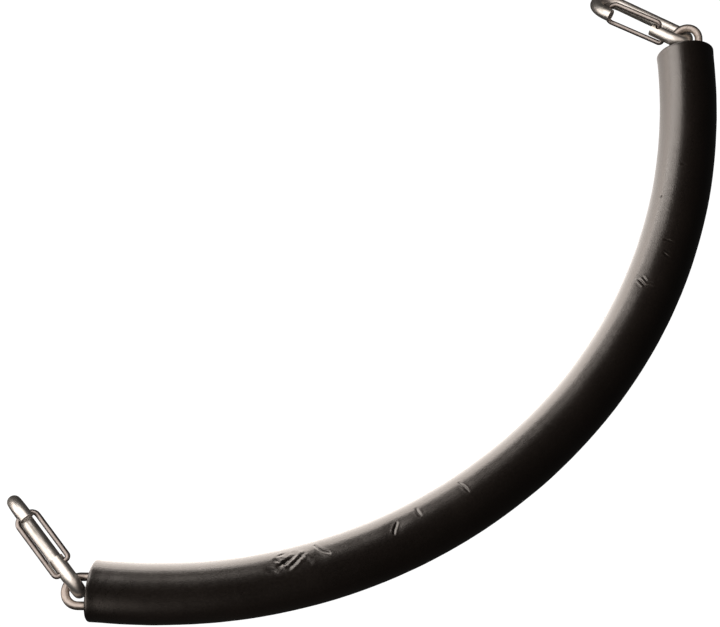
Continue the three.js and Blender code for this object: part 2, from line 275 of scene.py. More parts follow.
def bevel_end(radius, size, rings=5):
    out = [(0.0, 0.02), (0.0, (radius - size) * 0.55 / radius)]
    for i in range(rings):
        a = math.pi / 2 * (1 - i / rings)
        out.append((-size + size * math.sin(a), (radius - size + size * math.cos(a)) / radius))
    return out


def apply_matrix(verts, m):
    return verts @ m[:3, :3].T + m[:3, 3]


# ---- materials --------------------------------------------------------------------------
def new_material(name):
    mat = bpy.data.materials.new(name)
    mat.use_nodes = True
    nt = mat.node_tree
    nt.nodes.clear()
    out = nt.nodes.new("ShaderNodeOutputMaterial")
    bsdf = nt.nodes.new("ShaderNodeBsdfPrincipled")
    nt.links.new(bsdf.outputs["BSDF"], out.inputs["Surface"])
    return mat, nt, bsdf


def node(nt, kind, **inputs):
    n = nt.nodes.new(kind)
    for k, v in inputs.items():
        n.inputs[k.replace("_", " ")].default_value = v
    return n


def noise(nt, coords, scale, detail=4.0, rough=0.55, distortion=0.0):
    n = node(nt, "ShaderNodeTexNoise", Scale=scale, Detail=detail, Roughness=rough, Distortion=distortion)
    nt.links.new(coords, n.inputs["Vector"])
    return n.outputs["Fac"]


def ramp(nt, fac, stops):
    n = nt.nodes.new("ShaderNodeValToRGB")
    el = n.color_ramp.elements
    while len(el) < len(stops):
        el.new(0.5)
    for e, (p, c) in zip(el, stops):
        e.position = p
        e.color = (*c, 1.0) if len(c) == 3 else c
    nt.links.new(fac, n.inputs["Fac"])
    return n.outputs["Color"]


def map_range(nt, value, lo, hi, to_lo, to_hi):
    n = nt.nodes.new("ShaderNodeMapRange")
    for i, v in ((1, lo), (2, hi), (3, to_lo), (4, to_hi)):
        n.inputs[i].default_value = v
    nt.links.new(value, n.inputs[0])
    return n.outputs[0]


def mathn(nt, op, a, b):
    n = nt.nodes.new("ShaderNodeMath")
    n.operation = op
    for i, v in enumerate((a, b)):
        if isinstance(v, (int, float)):
            n.inputs[i].default_value = v
        else:
            nt.links.new(v, n.inputs[i])
    return n.outputs[0]


def mix_colour(nt, fac, a, b, mode="MIX"):
    n = nt.nodes.new("ShaderNodeMix")
    n.data_type = "RGBA"
    n.blend_type = mode
    nt.links.new(fac, n.inputs[0])
    for i, v in ((6, a), (7, b)):
        if isinstance(v, tuple):
            n.inputs[i].default_value = (*v, 1.0)
        else:
            nt.links.new(v, n.inputs[i])
    return n.outputs[2]


def bump(nt, height, strength, distance, below=None):
    n = node(nt, "ShaderNodeBump", Strength=strength, Distance=distance)
    nt.links.new(height, n.inputs["Height"])
    if below is not None:
        nt.links.new(below, n.inputs["Normal"])
    return n.outputs["Normal"]


def scaled(nt, coords, factors):
    n = nt.nodes.new("ShaderNodeVectorMath")
    n.operation = "MULTIPLY"
    nt.links.new(coords, n.inputs[0])
    n.inputs[1].default_value = factors
    return n.outputs[0]


FOAM_BASE_LO = (0.0056, 0.0038, 0.0030)
FOAM_BASE_HI = (0.0088, 0.0061, 0.0049)


def foam_material():
    """Closed-cell foam rubber: a satin moulded skin, faint lengthwise drag marks from the tube die,
    fine pores, painted shade in the crease grooves and a painted highlight on the lips beside them."""
    mat, nt, bsdf = new_material("foam_skin")
    pos = nt.nodes.new("ShaderNodeAttribute")
    pos.attribute_name = "rest_place"
    wrap = nt.nodes.new("ShaderNodeAttribute")
    wrap.attribute_name = "along_round"
    painted_crease_shade_and_highlight = nt.nodes.new("ShaderNodeAttribute")
    painted_crease_shade_and_highlight.attribute_name = "crease_tone"
    inside = nt.nodes.new("ShaderNodeAttribute")
    inside.attribute_name = "cut_face"
    p = pos.outputs["Vector"]
    w = wrap.outputs["Vector"]
    cloud = noise(nt, p, 22.0, 5.0, 0.6)
    grain = noise(nt, p, 620.0, 4.0, 0.6)
    drag = noise(nt, scaled(nt, w, (5.0, 420.0, 1.0)), 1.0, 3.0, 0.6)
    speck = noise(nt, p, 1500.0, 2.0, 0.5)
    colour = ramp(nt, cloud, [(0.28, FOAM_BASE_LO), (0.72, FOAM_BASE_HI)])
    fine = map_range(nt, grain, 0.3, 0.7, 0.86, 1.12)
    tone = mathn(nt, "MULTIPLY", fine, map_range(nt, drag, 0.3, 0.7, 0.94, 1.06))
    shade = nt.nodes.new("ShaderNodeVectorMath")
    shade.operation = "SCALE"
    nt.links.new(colour, shade.inputs[0])
    # the skin colour times the crease factor: painted shade in the grooves, painted highlight on the lips
    nt.links.new(mathn(nt, "MULTIPLY", tone, painted_crease_shade_and_highlight.outputs["Fac"]), shade.inputs["Scale"])
    body = mix_colour(nt, inside.outputs["Fac"], shade.outputs[0], (0.0060, 0.0048, 0.0044))
    nt.links.new(body, bsdf.inputs["Base Color"])
    rough = mathn(nt, "ADD", map_range(nt, cloud, 0.3, 0.7, 0.285, 0.325), map_range(nt, grain, 0.3, 0.7, -0.03, 0.04))
    rough = mathn(nt, "ADD", rough, map_range(nt, inside.outputs["Fac"], 0.0, 1.0, 0.0, 0.35))
    nt.links.new(rough, bsdf.inputs["Roughness"])
    bsdf.inputs["IOR"].default_value = 1.5
    bsdf.inputs["Specular Tint"].default_value = (1.0, 0.92, 0.86, 1.0)
    cells = node(nt, "ShaderNodeTexVoronoi", Scale=1150.0, Randomness=1.0)
    nt.links.new(p, cells.inputs["Vector"])
    pores = map_range(nt, cells.outputs["Distance"], 0.0, 0.35, 0.0, 1.0)
    n1 = bump(nt, drag, 0.10, 0.0004)
    n2 = bump(nt, grain, 0.16, 0.0004, n1)
    n3 = bump(nt, mathn(nt, "ADD", speck, mathn(nt, "MULTIPLY", pores, 0.6)), 0.10, 0.0002, n2)
    nt.links.new(n3, bsdf.inputs["Normal"])
    return mat


def steel_material(name, lo, hi, rough_lo, rough_hi, pit=0.0, scratch=0.06, dull=(0.20, 0.17, 0.13)):
    """Bright plated steel: soft cloudy plating, fine rub marks, dull film in patches."""
    mat, nt, bsdf = new_material(name)
    tex = nt.nodes.new("ShaderNodeTexCoord")
    p = tex.outputs["Object"]
    cloud = noise(nt, p, 90.0, 5.0, 0.6)
    fine = noise(nt, p, 1400.0, 3.0, 0.6)
    film = noise(nt, p, 260.0, 6.0, 0.65, 0.4)
    rub = noise(nt, scaled(nt, p, (260.0, 2600.0, 1300.0)), 1.0, 3.0, 0.7)
    base = ramp(nt, cloud, [(0.30, lo), (0.70, hi)])
    spots = map_range(nt, film, 0.56, 0.74, 0.0, pit)
    colour = mix_colour(nt, spots, base, dull)
    nt.links.new(colour, bsdf.inputs["Base Color"])
    r = mathn(nt, "ADD", map_range(nt, cloud, 0.3, 0.7, rough_lo, rough_hi), map_range(nt, fine, 0.3, 0.7, -0.03, 0.03))
    r = mathn(nt, "ADD", r, mathn(nt, "MULTIPLY", spots, 0.35))
    r = mathn(nt, "ADD", r, map_range(nt, rub, 0.35, 0.65, -0.02, 0.04))
    nt.links.new(r, bsdf.inputs["Roughness"])
    bsdf.inputs["Metallic"].default_value = 1.0
    n1 = bump(nt, cloud, 0.05, 0.0004)
    n2 = bump(nt, fine, 0.04, 0.00006, n1)
    n3 = bump(nt, rub, scratch, 0.00006, n2)
    nt.links.new(n3, bsdf.inputs["Normal"])
    return mat


FOAM = foam_material()
HOOK_STEEL = steel_material("hook_steel", (0.66, 0.625, 0.565), (0.80, 0.755, 0.72), 0.34, 0.42, pit=0.35)
# the gate and the chain are darker copies of the hook's plated steel: painted shade, standing in for the shade on the
# thin gate wires and on the links at the sleeve's mouth
GATE_STEEL_PAINTED_SHADE = steel_material("gate_steel", (0.22, 0.19, 0.175), (0.34, 0.30, 0.275), 0.32, 0.39, pit=0.2)
CHAIN_STEEL_PAINTED_SHADE = steel_material("chain_steel", (0.27, 0.23, 0.205), (0.40, 0.35, 0.315), 0.34, 0.44, pit=0.5)

# ---- the foam sleeve --------------------------------------------------------------------
# Creases and dents that sitting on and folding the sling leaves in foam skin:
# (points as (s mm, degrees round from the inside of the bow over the top), depth, half width,
#  height of the lips beside it), all in millimetres.
CREASES = [
    ([(-172.5, 37), (-169.3, 53), (-164.5, 65)], 1.25, 0.62, 0.30),
    ([(-198.3, 42), (-193.5, 39)], 0.45, 0.7, 0.20),
    ([(-198.3, 64), (-192.0, 57), (-187.0, 52)], 1.15, 0.95, 0.40),
    ([(-191.9, 73), (-186.0, 62), (-180.6, 51)], 0.65, 0.9, 0.42),
    ([(-199.9, 50), (-194.5, 58), (-191.9, 69)], 0.85, 1.0, 0.30),
    ([(-187.0, 43), (-182.5, 57), (-177.4, 72)], 0.40, 1.0, 0.35),
    ([(-205.5, 66), (-200.5, 74)], 0.55, 1.2, 0.10),
    ([(-116.1, 57), (-119.3, 67), (-120.9, 75)], 1.0, 0.6, 0.28),
    ([(-100.0, 47), (-100.4, 56), (-100.0, 64)], 0.5, 0.7, 0.2),
    ([(-66.1, 46), (-65.0, 59), (-64.5, 72)], 0.55, 0.6, 0.22),
    ([(164.5, 71), (164.8, 80), (164.5, 89)], 0.7, 0.55, 0.26),
    ([(154.8, 77), (153.9, 84), (153.2, 90)], 0.75, 0.55, 0.28),
    ([(156.9, 78), (156.2, 84), (155.6, 89)], 0.4, 0.5, 0.2),
    ([(130.6, 52), (127.4, 68), (129.0, 81)], 0.8, 0.6, 0.28),
    ([(133.0, 58), (130.4, 69), (131.6, 78)], 0.4, 0.55, 0.2),
    ([(224.1, 69), (224.1, 76)], 0.4, 0.6, 0.15),
]
# shallow dents: centre (s, degrees), half sizes along and round in mm, depth
DENTS = [
    ((198.3, 40), 0.75, 0.75, 0.75),
    ((-196.0, 62), 7.5, 5.0, 0.55),
    ((-184.0, 56), 6.0, 5.0, -0.35),
    ((-168.0, 55), 5.0, 5.5, 0.30),
    ((-118.5, 64), 6.5, 5.0, 0.35),
    ((-100.0, 56), 3.0, 5.0, 0.18),
    ((-65.0, 60), 3.5, 6.0, 0.22),
    ((129.5, 67), 5.0, 6.0, 0.30),
    ((155.0, 83), 4.0, 4.5, 0.25),
    ((164.5, 80), 3.5, 4.5, 0.2),
    ((40.0, 20), 26.0, 12.0, 0.22),
    ((-20.0, 120), 30.0, 14.0, 0.25),
    ((250.0, 140), 22.0, 12.0, 0.22),
    ((-260.0, 100), 20.0, 12.0, 0.18),
    ((95.0, 10), 18.0, 9.0, 0.18),
]
CUTS = [-HALF, -108.0, 0.0, 108.0, HALF]


def smooth_waves(s, phi, seed, count=26, longest=140.0, shortest=22.0):
    """A soft, even field of long waves over the tube, the same each run."""
    rng = np.random.default_rng(seed)
    total = np.zeros_like(s)
    for _ in range(count):
        length = math.exp(rng.uniform(math.log(shortest), math.log(longest)))
        turns = rng.integers(-3, 4)
        phase = rng.uniform(0, 2 * math.pi)
        total += np.sin(2 * math.pi * s / length + turns * phi + phase) * (length / longest) ** 0.7
    return total / math.sqrt(count)


def relief(s, phi):
    """Height above the plain tube in mm, and a tone factor for the skin there: painted shade in the crease grooves,
    painted highlight on their lips.
    """
    h = 0.075 * smooth_waves(s, phi, 7) + 0.02 * smooth_waves(s, phi, 11, 30, 24.0, 7.0)
    tone = np.ones_like(h)
    round_mm = phi * R_OUT
    for points, depth, width, lip in CREASES:
        depth, width, lip = 0.62 * depth, 1.25 * width, 0.55 * lip
        pts = np.array([(a, rad(b) * R_OUT) for a, b in points])
        # distance to the broken line, and how far along it
        best = np.full(s.shape, 1e9)
        along = np.zeros_like(s)
        lengths = np.linalg.norm(np.diff(pts, axis=0), axis=1)
        total = lengths.sum()
        run = 0.0
        for (p, q), seg in zip(zip(pts[:-1], pts[1:]), lengths):
            d = (q - p) / seg
            u = np.clip((s - p[0]) * d[0] + (round_mm - p[1]) * d[1], 0, seg)
            dist = np.hypot(s - p[0] - d[0] * u, round_mm - p[1] - d[1] * u)
            closer = dist < best
            best = np.where(closer, dist, best)
            along = np.where(closer, run + u, along)
            run += seg
        t = along / total
        fade = np.clip(np.sin(np.clip(t * 0.92 + 0.04, 0, 1) * math.pi), 0, 1) ** 0.45
        cut = np.exp(-(best / width) ** 2 * 1.1)
        lips = np.exp(-((best - 2.1 * width) / (1.1 * width)) ** 2)
        h += fade * (-depth * cut + lip * lips)
        # painted shade darkens the crease groove, painted highlight lightens the lips beside it
        tone *= 1 - 0.40 * fade * cut
        tone *= 1 + 0.10 * fade * lips
    for (cs, cphi), ls, lr, depth in DENTS:
        d = ((s - cs) / ls) ** 2 + ((round_mm - rad(cphi) * R_OUT) / lr) ** 2
        h -= depth * np.exp(-d)
    return h, tone


def station_list():
    fine = [(-207.0, -159.0), (-124.0, -96.5), (-69.0, -61.5), (125.0, 134.5), (151.0, 167.0),
            (196.8, 199.8), (222.0, 226.0)]
    out = [-HALF]
    s = -HALF
    while s < HALF:
        step = 1.5
        for a, b in fine:
            if a <= s <= b:
                step = 0.42
        s += step
        out.append(min(s, HALF))
    out = sorted(set(round(v, 4) for v in out) | set(CUTS))
    keep = [out[0]]
    for v in out[1:]:
        if v in CUTS or v - keep[-1] > 0.2:
            if v in CUTS and v - keep[-1] < 0.2 and keep[-1] not in CUTS:
                keep[-1] = v
            else:
                keep.append(v)
    return np.array(keep)


STATIONS = station_list()
_fine_phi = np.radians(np.arange(24.0, 96.0, 1.25))
_rest_phi = np.radians(np.linspace(96.0, 384.0, 78, endpoint=False))
PHI = np.concatenate([_fine_phi, _rest_phi])
NPHI = len(PHI)
RIM = 2.1


def sleeve_piece(name, s0, s1, end_start, end_finish):
    """One length of the tube as a closed solid: skin, bore and either a rounded rim or a flat,
    hidden face where the next length carries on."""
    inner = STATIONS[(STATIONS >= s0 - 1e-6) & (STATIONS <= s1 + 1e-6)]
    loops = []                       # (s, radius, is skin share, is cut face)
    if end_start:
        # bore mouth, end face, rounded rim
        loops += [(s0 + 1.2, R_IN, 0.0, 1.0), (s0 + 0.35, R_IN + 0.15, 0.0, 1.0), (s0 + 0.0, R_IN + 0.75, 0.0, 1.0),
                  (s0 - 0.28, (R_IN + R_OUT) / 2 - 0.4, 0.0, 1.0), (s0 - 0.05, R_OUT - RIM - 0.15, 0.0, 0.9)]
        for a in (12, 30, 48, 66, 82):
            loops.append((s0 + RIM * (1 - math.cos(rad(a))), R_OUT - RIM + RIM * math.sin(rad(a)),
                          min(1.0, a / 60), max(0.0, 0.8 - a / 50)))
        skin_from = s0 + RIM
    else:
        skin_from = s0
    skin_to = s1 - RIM if end_finish else s1
    for s in inner:
        if skin_from - 1e-6 <= s <= skin_to + 1e-6:
            loops.append((s, R_OUT, 1.0, 0.0))
    if end_finish:
        for a in (82, 66, 48, 30, 12):
            loops.append((s1 - RIM * (1 - math.cos(rad(a))), R_OUT - RIM + RIM * math.sin(rad(a)),
                          min(1.0, a / 60), max(0.0, 0.8 - a / 50)))
        loops += [(s1 + 0.05, R_OUT - RIM - 0.15, 0.0, 0.9), (s1 + 0.28, (R_IN + R_OUT) / 2 - 0.4, 0.0, 1.0),
                  (s1, R_IN + 0.75, 0.0, 1.0), (s1 - 0.35, R_IN + 0.15, 0.0, 1.0), (s1 - 1.2, R_IN, 0.0, 1.0)]
    # bore wall, back to the start
    lo = s0 + 1.2 if end_start else s0
    hi = s1 - 1.2 if end_finish else s1
    n = max(2, int((hi - lo) / 6.0))
    bore = [(hi + (lo - hi) * i / n, R_IN, 0.0, 1.0) for i in range(n + 1)]
    if end_finish:
        bore = bore[1:]
    if end_start:
        bore = bore[:-1]
    loops += bore
    S = np.array([l[0] for l in loops])[:, None] + np.zeros(NPHI)[None, :]
    RR = np.array([l[1] for l in loops])[:, None] + np.zeros(NPHI)[None, :]
    K = np.array([l[2] for l in loops])[:, None] + np.zeros(NPHI)[None, :]
    C = np.array([l[3] for l in loops])[:, None] + np.zeros(NPHI)[None, :]
    P = PHI[None, :] + np.zeros_like(S)
    P_rel = np.where(P > 2 * math.pi, P - 2 * math.pi, P)
    h, tone = relief(S, P_rel)
    # the ends swell a little where the foam was cut
    edge = np.minimum(np.abs(S - (-HALF)), np.abs(S - HALF))
    h = h + 0.30 * np.exp(-(edge / 5.0) ** 2)
    # cut ends are never quite square
    wobble = 0.35 * np.sin(P + 0.6) * C + 0.18 * np.sin(3 * P + 1.0) * C
    S2 = S + np.where(np.abs(S) > HALF - 3.0, wobble, 0.0)
    radius = RR + h * K
    lateral = np.cos(P) * radius
    up = np.sin(P) * radius
    # the sling's own weight flattens the foam slightly on the surface
    up = np.where(up < -(R_OUT - 0.12), -(R_OUT - 0.12), up)
    xyz = place_line(S2, lateral, up).reshape(-1, 3)
    m = len(loops)
    faces = []
    for i in range(m):
        j = (i + 1) % m
        for k in range(NPHI):
            l = (k + 1) % NPHI
            faces.append((i * NPHI + k, i * NPHI + l, j * NPHI + l, j * NPHI + k))
    attributes = {
        "rest_place": xyz * 0.001,
        "along_round": np.stack([S * 0.001, P_rel * R_OUT * 0.001, np.zeros_like(S)], -1).reshape(-1, 3),
        # painted shade in the creases and painted highlight on their lips, on the skin only
        "crease_tone": (1 + (tone - 1) * K).ravel(),
        "cut_face": C.ravel(),
    }
    return make_object(name, xyz, faces, FOAM, 50.0, attributes)


def blend_about(obj):
    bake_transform(obj)


sleeve_1 = sleeve_piece("foam_sleeve_left_end", CUTS[0], CUTS[1], True, False)
sleeve_2 = sleeve_piece("foam_sleeve_left_middle", CUTS[1], CUTS[2], False, False)
sleeve_3 = sleeve_piece("foam_sleeve_right_middle", CUTS[2], CUTS[3], False, False)
sleeve_4 = sleeve_piece("foam_sleeve_right_end", CUTS[3], CUTS[4], False, True)
blend_about(sleeve_1)
blend_about(sleeve_2)
blend_about(sleeve_3)
blend_about(sleeve_4)
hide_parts("sleeve_left_outer")
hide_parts("sleeve_left_inner", "sleeve_middle")
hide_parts("sleeve_right_inner")
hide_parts("sleeve_right_outer")

# ---- chain ------------------------------------------------------------------------------
LINK_R = (LINK_WIDTH - CHAIN_WIRE) / 2
LINK_HALF = (PITCH + CHAIN_WIRE + LINK_SLACK) / 2
BODY_OF = {}
for _body_name, _members in (frame["record"]["behaviour"]["bodies"]).items():
    for _m in _members:
        BODY_OF[_m] = _body_name


def link_mesh(sides, arc_steps, weld_leg):
    flat = LINK_HALF - LINK_R
    leg = 2 * flat
    n = 10
    pts = []
    pts += arc(flat, 0, LINK_R, -90, 90, arc_steps)
    pts += [(flat - leg * i / n, LINK_R) for i in range(1, n)]
    pts += arc(-flat, 0, LINK_R, 90, 270, arc_steps)
    pts += [(-flat + leg * i / n, -LINK_R) for i in range(1, n)]
    pts = tidy([(x, y, 0.0) for x, y in pts], True)
    # the flash weld stands a little proud in the middle of one leg
    swell = np.ones(len(pts))
    for i, p in enumerate(pts):
        if p[1] * weld_leg > LINK_R * 0.98:
            swell[i] = 1 + 0.085 * math.exp(-(p[0] / 1.7) ** 2)
    return sweep(pts, (0, 0, 1), CHAIN_WIRE / 2, sides, closed=True, swell=swell)


link_frames = []
for k in range(LINK_COUNT):
    a, b = raw_pivot(k), raw_pivot(k + 1)
    along = unit(b - a)
    up = Z_AXIS.copy()
    side = np.cross(up, along)
    centre = (a + b) / 2
    x = along.copy()
    if k == LINK_COUNT - 2:
        side = turn_about(side, x, rad(RIGHT_TWIST))
        up = turn_about(up, x, rad(RIGHT_TWIST))
    if k in (0, LINK_COUNT - 1):
        spec = LEFT_HOOK if k == 0 else RIGHT_HOOK
        out = -along if k == 0 else along
        inner_end = b if k == 0 else a
        out = turn_about(out, Z_AXIS, rad(spec["turn"]))
        tilted = out * math.cos(rad(spec["pitch"])) + Z_AXIS * math.sin(rad(spec["pitch"]))
        centre = inner_end + tilted * PITCH / 2
        x = -tilted if k == 0 else tilted
        side = unit(np.cross(Z_AXIS, x))
        up = unit(np.cross(x, side))
        side = turn_about(side, x, rad(spec["roll"]))
        up = turn_about(up, x, rad(spec["roll"]))
    y = side if k % 2 == 0 else up
    z = np.cross(x, y)
    M = np.eye(4)
    M[:3, 0], M[:3, 1], M[:3, 2], M[:3, 3] = x, y, z, centre + SHIFT
    link_frames.append((x, y, z, centre))
    name = "end_link_left" if k == 0 else "end_link_right" if k == LINK_COUNT - 1 else f"chain_link_{k:02d}"
    end = k in (0, LINK_COUNT - 1)
    near = end or k in (1, LINK_COUNT - 2)
    verts, faces = link_mesh(40 if end else 24 if near else 14, 28 if end else 18 if near else 10, 1 if k % 4 < 2 else -1)
    shown = make_object("steel_" + name, apply_matrix(verts, M), faces, CHAIN_STEEL_PAINTED_SHADE)
    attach(shown, BODY_OF[name])
    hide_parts(name)

# ---- snap hooks -------------------------------------------------------------------------
TOP_Y = HOOK_LENGTH - (HOOK_EYE_R + HOOK_ROD / 2) - HOOK_ROD / 2
NOSE_Y = TOP_Y - HOOK_NOSE_R
NOSE_X = -HOOK_EYE_R + HOOK_NOSE_R
NOSE_SIDE_X = NOSE_X + HOOK_NOSE_R
HINGE = (HOOK_EYE_R, (GATE_HOLE_NEAR + GATE_HOLE_FAR) / 2)
GATE_TOP_X = NOSE_SIDE_X - HOOK_ROD / 2 - GATE_WIRE / 2 - 0.45
GATE_SLOPE = (GATE_TOP_X - HINGE[0]) / (GATE_TOP - HINGE[1])
GATE_DIR = unit((GATE_SLOPE, 1, 0))


def gate_x(y):
    return HINGE[0] + GATE_SLOPE * (y - HINGE[1])


def hook_mesh():
    tilt = math.degrees(math.asin(HOOK_CROWN_FLAT / 2 / HOOK_NOSE_R))
    pts = [(HOOK_EYE_R, HOOK_STUB_END)]
    pts += straight((HOOK_EYE_R, HOOK_STUB_END), (HOOK_EYE_R, 0), 2.2)
    pts += arc(0, 0, HOOK_EYE_R, 0, -180, 40)
    pts += straight((-HOOK_EYE_R, 0), (-HOOK_EYE_R, NOSE_Y), 3.0)
    pts += arc(NOSE_X, NOSE_Y, HOOK_NOSE_R, 180, 90 + tilt, 26)
    pts += arc(NOSE_X, NOSE_Y, HOOK_NOSE_R, 90 - tilt, 0, 26)
    pts += straight((NOSE_SIDE_X, NOSE_Y), (NOSE_SIDE_X, HOOK_TIP_END + 0.9), 1.2)
    pts += [(NOSE_SIDE_X, HOOK_TIP_END + 0.9)]
    pts = tidy([(x, y, 0.0) for x, y in pts])
    # bending draws the rod a little thinner in the bends
    swell = np.ones(len(pts))
    for i, p in enumerate(pts):
        if p[1] < 0:
            swell[i] = 1 - 0.020 * math.sin(math.pi * min(1, -p[1] / HOOK_EYE_R) / 2)
        if p[1] > NOSE_Y:
            swell[i] = 1 - 0.018 * math.sin(math.pi * min(1, (p[1] - NOSE_Y) / HOOK_NOSE_R) / 2)
    r = HOOK_ROD / 2
    caps = (bevel_end(r, 0.9), bevel_end(r, 1.5))
    # the path's first and last points are the true ends: bevels run inwards from them
    return sweep(pts, (0, 0, 1), r, 56, caps=caps, swell=swell)


def gate_mesh():
    half = GATE_SPREAD / 2
    corner, foot, inset = 5.0, 2.4, 1.6

    def p(y, z):
        return (gate_x(y), y, z)

    pts = [p(GATE_HOLE_NEAR, inset), p(GATE_HOLE_NEAR, (inset + half - foot) / 2)]
    for i in range(11):
        a = rad(i * 9)
        pts.append(p(GATE_HOLE_NEAR + foot - foot * math.cos(a), half - foot + foot * math.sin(a)))
    y0, y1 = GATE_HOLE_NEAR + foot, GATE_TOP - corner
    for i in range(1, 12):
        pts.append(p(y0 + (y1 - y0) * i / 12, half))
    for i in range(15):
        a = rad(i * 90 / 14)
        pts.append(p(GATE_TOP - corner + corner * math.sin(a), half - corner + corner * math.cos(a)))
    pts.append(p(GATE_TOP, 0.0))
    for i in range(15):
        a = rad(90 - i * 90 / 14)
        pts.append(p(GATE_TOP - corner + corner * math.sin(a), -(half - corner + corner * math.cos(a))))
    y0 = GATE_HOLE_FAR + foot
    for i in range(11, 0, -1):
        pts.append(p(y0 + (y1 - y0) * i / 12, -half))
    for i in range(11):
        a = rad(90 - i * 9)
        pts.append(p(GATE_HOLE_FAR + foot - foot * math.cos(a), -(half - foot + foot * math.sin(a))))
    pts += [p(GATE_HOLE_FAR, -(inset + half - foot) / 2), p(GATE_HOLE_FAR, -inset)]
    pts = tidy(pts)
    normal = unit(np.cross(GATE_DIR, (0, 0, 1)))
    r = GATE_WIRE / 2
    return sweep(pts, normal, r, 28, caps=(bevel_end(r, 0.35, 3), bevel_end(r, 0.35, 3)))


def hole_mesh(y, direction):
    w = GATE_WIRE / 2 + 0.35
    l = 1.0
    outline = arc(l, 0, w, -90, 90, 14) + arc(-l, 0, w, 90, 270, 14)
    x0 = gate_x(y)
    z0, z1 = (0.9, 8.9) if direction > 0 else (-8.9, -0.9)
    n = len(outline)
    verts = [(x0 + a, y + b, z0) for a, b in outline] + [(x0 + a, y + b, z1) for a, b in outline]
    faces = [(i, (i + 1) % n, n + (i + 1) % n, n + i) for i in range(n)]
    faces += [tuple(reversed(range(n))), tuple(range(n, 2 * n))]
    return np.array(verts), faces


def hook_matrix(spec, link, outward):
    a = np.array([0.0, math.cos(rad(spec["slope"])), -math.sin(rad(spec["slope"]))])
    a = turn_about(a, Z_AXIS, rad(spec["yaw"]))
    g0 = unit(Z_AXIS - a * a[2])
    side = unit(np.cross(a, Z_AXIS))
    g = g0 * math.cos(rad(spec["lean"])) + side * math.sin(rad(spec["lean"]))
    n = np.cross(g, a)
    crossing = link[3] + outward * (LINK_HALF - LINK_R)
    M = np.eye(4)
    M[:3, 0], M[:3, 1], M[:3, 2] = g, a, n
    M[:3, 3] = crossing + a * HOOK_EYE_R + SHIFT
    return M


def cut_holes(obj, M):
    for y, direction in ((GATE_HOLE_NEAR, 1), (GATE_HOLE_FAR, -1)):
        verts, faces = hole_mesh(y, direction)
        tool = make_object("hole_tool", apply_matrix(verts, M), faces, HOOK_STEEL)
        mod = obj.modifiers.new("hole", "BOOLEAN")
        mod.operation = "DIFFERENCE"
        mod.solver = "EXACT"
        mod.object = tool
        dg = bpy.context.evaluated_depsgraph_get()
        result = bpy.data.meshes.new_from_object(obj.evaluated_get(dg))
        obj.modifiers.clear()
        obj.data = result
        bpy.data.objects.remove(tool)
    obj.data.polygons.foreach_set("use_smooth", np.ones(len(obj.data.polygons), bool))
    obj.data.set_sharp_from_angle(angle=rad(38))


for label, spec, link, outward in (
    ("left", LEFT_HOOK, link_frames[0], -link_frames[0][0]),
    ("right", RIGHT_HOOK, link_frames[-1], link_frames[-1][0]),
):
    M = hook_matrix(spec, link, outward)
    verts, faces = hook_mesh()
    body = make_object(f"snap_hook_{label}", apply_matrix(verts, M), faces, HOOK_STEEL)
    cut_holes(body, M)
    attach(body, f"hook_{label}")
    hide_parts(f"hook_body_{label}")
    verts, faces = gate_mesh()
    gate = make_object(f"wire_gate_{label}", apply_matrix(verts, M), faces, GATE_STEEL_PAINTED_SHADE)
    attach(gate, f"gate_{label}")
    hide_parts(f"hook_gate_{label}")

# ---- floor, light, camera ---------------------------------------------------------------
floor_mat, fnt, fb = new_material("studio_floor")
ftex = fnt.nodes.new("ShaderNodeTexCoord")
fcloud = noise(fnt, ftex.outputs["Object"], 3.0, 3.0, 0.5)
fcol = ramp(fnt, fcloud, [(0.3, (0.90, 0.90, 0.90)), (0.7, (0.93, 0.93, 0.93))])
fnt.links.new(fcol, fb.inputs["Base Color"])
fb.inputs["Roughness"].default_value = 0.9
fb.inputs["Emission Color"].default_value = (1.0, 1.0, 1.0, 1.0)
fb.inputs["Emission Strength"].default_value = 1.05
floor_mesh = bpy.data.meshes.new("studio_floor")
floor_mesh.from_pydata([(-4, -4, -0.0006), (4, -4, -0.0006), (4, 4, -0.0006), (-4, 4, -0.0006)], [], [(0, 1, 2, 3)])
floor_mesh.materials.append(floor_mat)
floor = bpy.data.objects.new("studio_floor", floor_mesh)
SCENE.collection.objects.link(floor)
floor.visible_diffuse = False
floor.visible_glossy = False

world = bpy.data.worlds.new("studio_air")
world.use_nodes = True
wb = next(n for n in world.node_tree.nodes if n.type == "BACKGROUND")
wb.inputs["Color"].default_value = (1.0, 0.985, 0.965, 1.0)
wb.inputs["Strength"].default_value = 0.035
SCENE.world = world


steel_set = bpy.data.collections.new("steel_pieces")
foam_set = bpy.data.collections.new("foam_pieces")
for o in list(SCENE.objects):
    if o.type == "MESH" and o.name.startswith("foam_sleeve"):
        foam_set.objects.link(o)
    elif o.type == "MESH" and o.name.startswith(("steel_", "snap_hook", "wire_gate")):
        steel_set.objects.link(o)


def only_for(light, group):
    """Flags the light off the other material, as a studio does with black cards."""
    light.light_linking.receiver_collection = group
    return light


def soft_light(name, place, target, size_x, size_y, power, colour=(1.0, 0.985, 0.965)):
    data = bpy.data.lights.new(name, "AREA")
    data.shape = "RECTANGLE"
    data.size, data.size_y = size_x, size_y
    data.energy = power
    data.color = colour
    o = bpy.data.objects.new(name, data)
    SCENE.collection.objects.link(o)
    place, target = Vector(place), Vector(target)
    o.location = place
    o.rotation_mode = "QUATERNION"
    o.rotation_quaternion = (target - place).to_track_quat("-Z", "Y")
    return o


only_for(soft_light("key_softbox", (-0.17, 1.02, 0.50), (0.08, 0.0, 0.03), 0.62, 0.90, 15.0), foam_set)
only_for(soft_light("low_strip", (0.42, 1.10, 0.05), (0.0, -0.02, 0.03), 1.0, 0.09, 3.6), foam_set)
west = soft_light("west_card", (-0.22, 0.08, 0.27), (0.27, 0.0, 0.03), 0.5, 0.5, 0.6, (1.0, 0.93, 0.87))
west.data.spread = math.radians(70.0)
only_for(west, foam_set)
